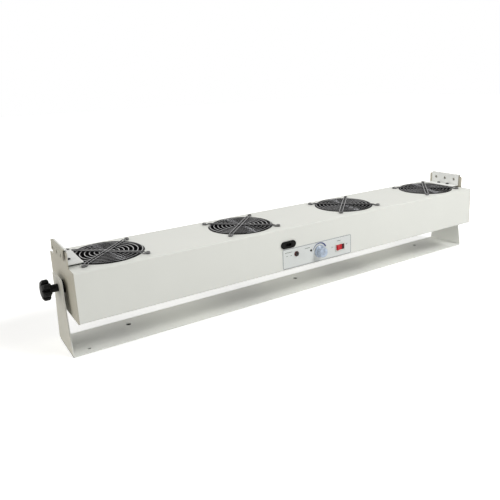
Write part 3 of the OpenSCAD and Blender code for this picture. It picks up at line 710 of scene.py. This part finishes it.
def pan_head(radius, height, name):
    crown = [(0, 0), (radius * 0.97, 0), (radius, height * 0.12), (radius, height * 0.45)]
    for k in range(1, 6):
        a = math.radians(90 * k / 6)
        crown.append((radius * (0.45 + 0.55 * math.cos(a)),
                      height * (0.45 + 0.5 * math.sin(a))))
    crown += [(radius * 0.3, height * 0.985), (0, height)]
    head = as_mesh(turned(crown, 40), name)
    wing, width, depth = radius * 0.56, radius * 0.24, height * 0.55
    for size in ((2 * wing, width, 2 * depth), (width, 2 * wing, 2 * depth)):
        bar = boxed(size, (0, 0, height))
        for v in bar.verts:
            if v.co.z < height:
                v.co.x *= RECESS_TAPER
                v.co.y *= RECESS_TAPER
        head = cut_out(head, as_mesh(bar, "bar"), name)
    return head

def threaded(radius, length, pitch, name):
    count = int(length / pitch)
    profile = [(0, 0), (radius * 0.8, 0)]
    for k in range(count):
        z = length * k / count
        profile += [(radius * 0.86, z + 0.02 * pitch), (radius, z + 0.5 * pitch)]
    profile += [(radius, length), (0, length)]
    return as_mesh(turned(profile, 24), name)

nut_profile = [(0, 0), (3.5, 0), (3.8, 0.3), (3.8, 2.9), (3.5, 3.2), (0, 3.2)]
spacer_profile = [(2.2, 0), (4, 0), (4, 3.6), (2.2, 3.6)]
guard_head = pan_head(3.9 * MM, 2.4 * MM, "guard_head")
guard_shank = threaded(1.9 * MM, 12.1 * MM, 0.7 * MM, "guard_shank")
guard_nut = as_mesh(turned(in_mm(nut_profile), 6), "guard_nut")
foot_head = pan_head(3.6 * MM, 2.4 * MM, "foot_head")
foot_spacer = as_mesh(turned(in_mm(spacer_profile), 32), "foot_spacer")
panel_head = pan_head(2.9 * MM, 1.6 * MM, "panel_head")
panel_shank = threaded(1.6 * MM, 5 * MM, 0.6 * MM, "panel_shank")
print("screw heads: 3, shanks: 2")

# %% [markdown]
# ## Guard screws
# Four screws hold each guard through the corner holes of its fan. An inlet screw goes through
# the guard's foot and the top sheet to a nut under the fan's flange. An outlet screw goes up
# through the lower guard's foot and the panel into the emitter ring. One head is made once and
# copied to every corner, and each copy is turned a little further, because nobody lines screws up.

# %% Guard screws
FAN_HOLE = 52.5 * MM
GUARD_SEAT = 1.85 * MM
SHANK_DROP, NUT_DROP = 9 * MM, 7.7 * MM
OUTLET_SHANK = 0.93
HEAD_TURN = 37

def fan_corners(x):
    return [(x + sx * FAN_HOLE, sy * FAN_HOLE) for sx in (-1, 1) for sy in (-1, 1)]

def guard_screws():
    upper, lower = [], []
    over, under = TOP + GUARD_SEAT, LOW + SHEET - GUARD_SEAT
    corners = [spot for x in FAN_X for spot in fan_corners(x)]
    for k, (x, y) in enumerate(corners):
        spin, flip = turn(HEAD_TURN * k % 90, "Z"), turn(180, "X")
        upper.append((guard_head, at(x, y, over) @ spin))
        upper.append((guard_shank, at(x, y, FAN_TOP - SHANK_DROP)))
        upper.append((guard_nut, at(x, y, FAN_TOP - NUT_DROP) @ spin))
        lower.append((guard_head, at(x, y, under) @ flip @ spin))
        lower.append((guard_shank, at(x, y, under - 0.01 * MM) @ shrunk(1, OUTLET_SHANK)))
    screw_piece("inlet_screws", upper, bright_steel)
    screw_piece("outlet_screws", lower, bright_steel)
    return 2 * len(corners)

print("guard screws:", guard_screws())

# %% [markdown]
# ## Hanger screws
# Each hanger's foot stands on two turned spacers, with a screw down through foot, spacer and top
# sheet to a nut inside. The guard screw's shank and nut could be modelled again at this size, but
# they are close enough to be scaled.

# %% Hanger screws
FOOT_X, FOOT_Y = 460 * MM, 13 * MM
FOOT_SEAT = 5.1 * MM
FOOT_SHANK_DROP, FOOT_NUT_DROP = 4 * MM, 3.2 * MM
FOOT_SHANK, FOOT_NUT = 0.82, 0.94

def hanger_screws():
    foot = []
    for sx, sy in ((-1, -1), (-1, 1), (1, -1), (1, 1)):
        x, y = sx * FOOT_X, sy * FOOT_Y
        spin = turn(30 * sx + 50 * sy, "Z")
        foot.append((foot_head, at(x, y, TOP + FOOT_SEAT) @ spin))
        foot.append((guard_shank, at(x, y, FAN_TOP - FOOT_SHANK_DROP) @ shrunk(1, FOOT_SHANK)))
        foot.append((foot_spacer, at(x, y, TOP)))
        foot.append((guard_nut, at(x, y, FAN_TOP - FOOT_NUT_DROP) @ shrunk(FOOT_NUT, 1)))
    screw_piece("hanger_screws", foot, black_steel)
    return len(foot) // 4

print("hanger screws:", hanger_screws())

# %% [markdown]
# ## Panel screws
# The outlet panel lies inside, on the housing's turned-in flanges. Small screws come up through
# both: along the front and back edges on either side of each fan, and two more near each end. The
# places could be a list, but they follow the fans, so they are worked out from them.

# %% Panel screws
PANEL_PAIR, PANEL_Y = 65.625 * MM, 68 * MM
PANEL_END_X, PANEL_END_Y = 462.775 * MM, 37.5 * MM
PANEL_TURN = 23

def panel_screws():
    signs = [(s, t) for s in (-1, 1) for t in (-1, 1)]
    spots = [(x + s * PANEL_PAIR, t * PANEL_Y) for x in FAN_X for s, t in signs]
    spots += [(s * PANEL_END_X, t * PANEL_END_Y) for s, t in signs]
    panel = []
    for k, (x, y) in enumerate(spots):
        spin, flip = turn(PANEL_TURN * k % 90, "Z"), turn(180, "X")
        panel.append((panel_head, at(x, y, LOW) @ flip @ spin))
        panel.append((panel_shank, at(x, y, LOW)))
    screw_piece("panel_screws", panel, black_steel)
    return len(spots)

print("panel screws:", panel_screws())

# %% [markdown]
# ## Fan rotors
# A moulded axial rotor has a cup-shaped hub with a rounded shoulder, and seven blades. A blade
# could be a flat plate turned on its side, but a real one is an airfoil section, steep at the hub
# and flatter at the tip, with its leading edge swept forward. The sections are laid out in
# cylindrical coordinates, so the tips follow the duct, and each fan has stopped at its own angle.

# %% Fan rotors
HUB_R, TIP_R, BLADES = 24.0, 57.15, 7
ROOT = HUB_R - 0.8
CHORD_DEG, RISE, SWEEP_DEG = (43, 40), (16.5, 17.5), 9
CAMBER = 2.6
BLADE_DROP, ROTOR_DROP = 12.6 * MM, 6.5 * MM
STOPPED_AT = (0, 19, 33, 8)

def blade_point(u, v, side):
    """u runs from trailing to leading edge, v from hub to tip, side is +1 above, -1 below."""
    r = ROOT + (TIP_R - ROOT) * v
    chord = CHORD_DEG[0] + (CHORD_DEG[1] - CHORD_DEG[0]) * v
    rise = RISE[0] + (RISE[1] - RISE[0]) * v
    a = math.radians((u - 0.5) * chord + SWEEP_DEG * v * v)
    camber = CAMBER * math.sin(math.pi * u) * (1 - 0.35 * v)
    thick = (0.35 + 1.1 * math.sqrt(max(0.0, u)) * (1.12 - u)) * (1.15 - 0.45 * v)
    if u < 0.001 or u > 0.999:
        thick *= 0.35
    z = (u - 0.5) * rise + camber + side * thick
    return Vector((r * math.cos(a), r * math.sin(a), z)) * MM

def blade_mesh():
    bm = bmesh.new()
    us = [0, 0.015, 0.06, 0.14, 0.25, 0.38, 0.5, 0.62, 0.74, 0.85, 0.93, 0.98, 1.0]
    loops = []
    for k in range(11):
        ring = [blade_point(u, k / 10, 1) for u in us]
        ring += [blade_point(u, k / 10, -1) for u in reversed(us)]
        loops.append([bm.verts.new(p) for p in ring])
    n = len(loops[0])
    for a, b in zip(loops, loops[1:]):
        for k in range(n):
            bm.faces.new((a[k], a[(k + 1) % n], b[(k + 1) % n], b[k]))
    bm.faces.new(list(reversed(loops[0])))
    bm.faces.new(loops[-1])
    bmesh.ops.recalc_face_normals(bm, faces=bm.faces)
    return as_mesh(bm, "blade")

def hub_mesh():
    """The cup, its shoulder and the shaft inside it, from the top down."""
    outer = [(0, -0.9), (7, -0.9), (7.6, -0.5), (8.4, -0.02), (20.6, -0.02)]
    for k in range(0, 7):
        a = math.radians(90 - 15 * k)
        outer.append((HUB_R - 2.4 + 2.4 * math.cos(a), -2.42 + 2.4 * math.sin(a)))
    outer += [(HUB_R, -23.7), (HUB_R - 0.3, -24), (HUB_R - 1.7, -24), (HUB_R - 2, -23.7),
              (HUB_R - 2, -3.4), (1.5, -3.0), (1.5, -29.2), (1.2, -29.5), (0, -29.5)]
    return as_mesh(turned(in_mm(reversed(outer)), 72), "hub")

def bladed_rotors():
    one_blade = blade_mesh()
    parts = [(hub_mesh(), Matrix())]
    for k in range(BLADES):
        parts.append((one_blade, turn(360 / BLADES * k, "Z") @ at(0, 0, -BLADE_DROP)))
    rotor = joined(parts, "rotor")
    for i, x in enumerate(FAN_X, start=1):
        own = rotor.copy()
        own.name = f"rotor_{i}"
        own.transform(at(x, 0, FAN_TOP - ROTOR_DROP) @ turn(STOPPED_AT[i - 1], "Z"))
        piece(f"bladed_rotor_{i}", own, rotor_black, f"rotor_{i}", angle=50,
              stands_for=[f"fan_rotor_{i}"])

bladed_rotors()
print("rotors:", len(FAN_X), "with", BLADES, "blades")

# %% [markdown]
# ## Inks
# The label is a film printed with dark grey, dark blue, pale blue and near-black inks. The
# printing could be one image, but that needs unwrapping and blurs close up, so each mark is its
# own thin layer of ink, as screen printing leaves it, and each ink is a finish.

# %% Inks
INK_GRAIN = 0.000002

def ink(name, colour, rough, drift):
    return finish(name, colour, rough, drift=drift, drift_scale=400.0, grain_depth=INK_GRAIN)

ink_grey = ink("ink_grey", (0.17, 0.18, 0.20), 0.4, 0.1)
ink_blue = ink("ink_blue", (0.012, 0.03, 0.17), 0.35, 0.12)
ink_pale = ink("ink_pale_blue", (0.42, 0.55, 0.78), 0.35, 0.08)
ink_dark = ink("ink_dark", (0.05, 0.08, 0.055), 0.4, 0.1)
print("inks: 4")

# %% [markdown]
# ## Printed marks
# A mark is a flat band between two rows of points, a few hundredths of a millimetre in front of
# the film. It could be cut from a sheet with Booleans, but two rows of points give the same shape
# with a few clean faces. Letters come from a text curve turned to a mesh. The marks are laid out
# in millimetres about the middle of the label and about the dial, both taken from the CAD.

# %% Printed marks
INK_LIFT = 0.04 * MM
FONT_SCALE = 1.35
label_low, label_high = box_of("label_plate")
INK_Y = label_low[1] - INK_LIFT
LABEL_W, LABEL_H = [(label_high[i] - label_low[i]) / MM for i in (0, 2)]
LABEL_MID = [middle_of("label_plate")[i] / MM for i in (0, 2)]
DIAL = [middle_of("dial_knob")[i] / MM for i in (0, 2)]

def ink_band(inner, outer, closed=False):
    """A flat band between two rows of (x, z) points in mm, facing the front."""
    bm = bmesh.new()
    rows = [[bm.verts.new((x * MM, INK_Y, z * MM)) for x, z in row] for row in (inner, outer)]
    n = len(inner)
    for k in range(n if closed else n - 1):
        j = (k + 1) % n
        bm.faces.new((rows[0][k], rows[0][j], rows[1][j], rows[1][k]))
    bmesh.ops.recalc_face_normals(bm, faces=bm.faces)
    if sum(f.normal.y for f in bm.faces) > 0:
        bmesh.ops.reverse_faces(bm, faces=bm.faces)
    return as_mesh(bm, "ink")

def rounded_outline(inset, radius):
    """A rectangle with round corners, inset from the label's edge, as (x, z) points in mm."""
    half_w, half_h = LABEL_W / 2 - inset - radius, LABEL_H / 2 - inset - radius
    out = []
    for sx, sz, start in ((1, 1, 0), (-1, 1, 90), (-1, -1, 180), (1, -1, 270)):
        for k in range(7):
            a = math.radians(start + 15 * k)
            out.append((LABEL_MID[0] + sx * half_w + radius * math.cos(a),
                        LABEL_MID[1] + sz * half_h + radius * math.sin(a)))
    return out

def round_dial(angle, radius, aside=0.0):
    """The point at an angle and radius from the dial's middle, or a little to its left."""
    a = math.radians(angle)
    ux, uz = math.cos(a), math.sin(a)
    return DIAL[0] + radius * ux - aside * uz, DIAL[1] + radius * uz + aside * ux

def tick(angle, ends, half):
    return ink_band([round_dial(angle, r, half) for r in ends],
                    [round_dial(angle, r, -half) for r in ends])

def rule(x, z, w, h):
    """A plain printed bar, centred at x and z in mm."""
    return ink_band([(x - w / 2, z - h / 2), (x + w / 2, z - h / 2)],
                    [(x - w / 2, z + h / 2), (x + w / 2, z + h / 2)])

def lettering(words, x, z, height):
    curve = bpy.data.curves.new("letters", "FONT")
    curve.body, curve.size = words, height * MM * FONT_SCALE
    curve.align_x, curve.align_y = "CENTER", "CENTER"
    o = bpy.data.objects.new("letters", curve)
    scene.collection.objects.link(o)
    bpy.context.view_layer.update()
    seen = bpy.context.evaluated_depsgraph_get()
    flat = bpy.data.meshes.new_from_object(o.evaluated_get(seen))
    bpy.data.objects.remove(o)
    flat.transform(at(x * MM, INK_Y, z * MM) @ turn(90, "X"))
    return flat

def printed(name, marks, mat):
    """Joins some marks into one piece of ink on the label."""
    mesh = joined([(mark, Matrix()) for mark in marks], name)
    piece(name, mesh, mat, "housing")
    return len(marks)

print("label", round(LABEL_W, 1), "by", round(LABEL_H, 1), "mm, dial at", DIAL)

# %% [markdown]
# ## Control label
# The printing is generic: a hairline frame, a speed arc that widens from the slow end to the fast
# end, short ticks that point at the dial, ON and OFF beside the switch, and plain bars in place of
# headings. The arc could be a curve with a changing bevel, but a band between two rows of points
# keeps its ends square, as printed ones are.

# %% Control label
FRAME_INSETS, FRAME_RADII = (1.4, 0.55), (2.0, 2.8)
ARC_FROM, ARC_SWEEP, ARC_STEPS = 158, 134, 30
ARC_R, ARC_SLIM, ARC_GROWS = 15.7, 0.9, 2.3
TICK_FROM, TICK_STEP, TICK_HALF = 210, 24, 0.2
NEAR_TICK, FAR_TICK = (14.8, 16.2), (18.2, 19.4)
WORD_HEIGHT = 2.4

def label_outline():
    inner, outer = [rounded_outline(*pair) for pair in zip(FRAME_INSETS, FRAME_RADII)]
    return printed("label_outline", [ink_band(inner, outer, closed=True)], ink_grey)

def speed_arc():
    inner, outer = [], []
    for k in range(ARC_STEPS + 1):
        t = k / ARC_STEPS
        angle = ARC_FROM - ARC_SWEEP * t
        inner.append(round_dial(angle, ARC_R))
        outer.append(round_dial(angle, ARC_R + ARC_SLIM + ARC_GROWS * t))
    return printed("speed_arc", [ink_band(inner, outer)], ink_blue)

def speed_ticks():
    """Three ticks close to the dial, where the arc starts, and four outside the rest of it."""
    ends = [NEAR_TICK] * 3 + [FAR_TICK] * 4
    marks = [tick(TICK_FROM - TICK_STEP * k, pair, TICK_HALF)
             for k, pair in enumerate(ends, start=1)]
    return printed("speed_ticks", marks, ink_pale)

def switch_words():
    marks = [lettering("ON", 35.6, 90.0, WORD_HEIGHT), lettering("OFF", 74.5, 90.2, WORD_HEIGHT)]
    return printed("switch_words", marks, ink_dark)

def heading_rules():
    """One bar over the switch, one by the trimmer, one at the left end and two below that."""
    marks = [rule(53.5, 101.0, 9, 1.1), rule(-27.0, 101.3, 12, 0.9), rule(-72.0, 101.2, 17, 0.9),
             rule(-76.0, 94.3, 2.6, 1.1), rule(-66.0, 94.1, 2.6, 1.1)]
    return printed("heading_rules", marks, ink_dark)

mark_makers = (label_outline, speed_arc, speed_ticks, switch_words, heading_rules)
print("label marks:", sum(make() for make in mark_makers))
